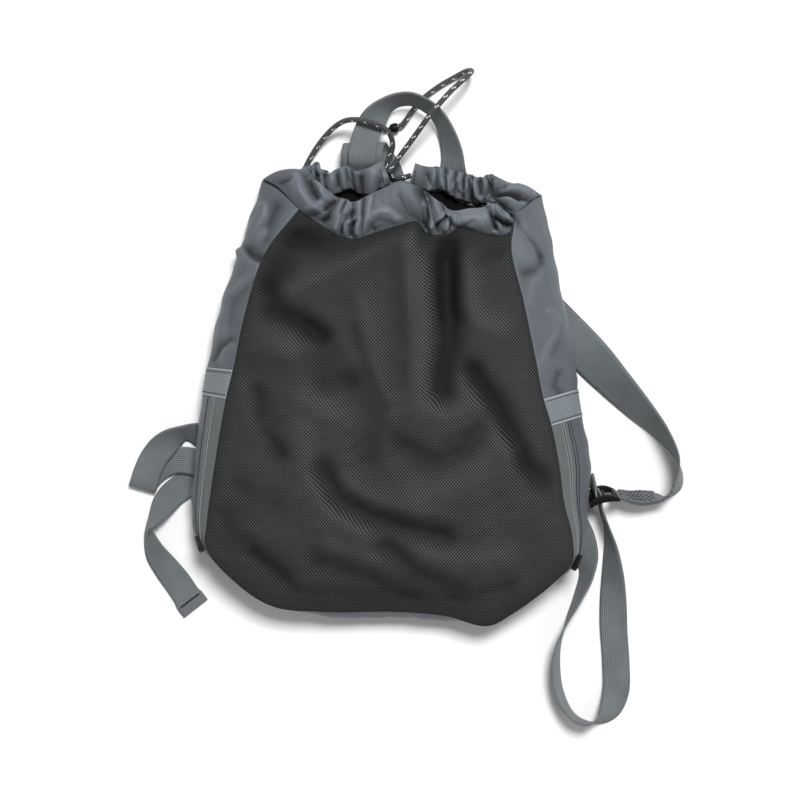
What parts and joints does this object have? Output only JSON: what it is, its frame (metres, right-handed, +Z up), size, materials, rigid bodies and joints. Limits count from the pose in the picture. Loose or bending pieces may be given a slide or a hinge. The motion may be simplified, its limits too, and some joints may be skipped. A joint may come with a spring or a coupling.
{
  "type": "mesh backpack",
  "caption": "Soft nylon backpack with a slack mesh front, zipped sides, gathered drawstring mouth, carry loop and webbing shoulder straps, lying on its back",
  "frame": {"origin": "on the floor under the middle of the laid-out bag, between the ends of its straps and handle", "axes": "+Z up from the floor through the net front, +Y towards the mouth and carry handle, +X to the right seen from above"},
  "size_m": [0.5091, 0.6017, 0.0891],
  "materials": {
    "nylon": "satin plain weave",
    "net": "matt diamond net",
    "webbing": "matt ribbed webbing",
    "elastic": "matt ribbed elastic",
    "zip_tape": "matt woven tape",
    "cord": "matt braid with pale flecks",
    "black_plastic": "satin moulded"
  },
  "bodies": {
    "root": {"back_panel": "nylon", "side_panel_left": "nylon", "side_panel_right": "nylon", "side_pocket_left": "nylon", "side_pocket_right": "nylon", "bottom_panel": "nylon", "drawstring_casing": "nylon", "front_mesh_panel": "net", "carry_handle": "webbing", "shoulder_strap_left": "webbing", "shoulder_strap_right": "webbing", "adjuster_left": "webbing", "adjuster_right": "webbing", "adjuster_right_tail": "webbing", "elastic_band_left": "elastic", "elastic_band_right": "elastic", "zip_tape_left": "zip_tape", "zip_tape_right": "zip_tape", "drawcord_left": "cord", "drawcord_right": "cord", "zip_slider_left": "black_plastic", "zip_slider_right": "black_plastic", "ladder_lock_left": "black_plastic", "ladder_lock_right": "black_plastic", "cord_stop": "black_plastic"}
  },
  "joints": []
}
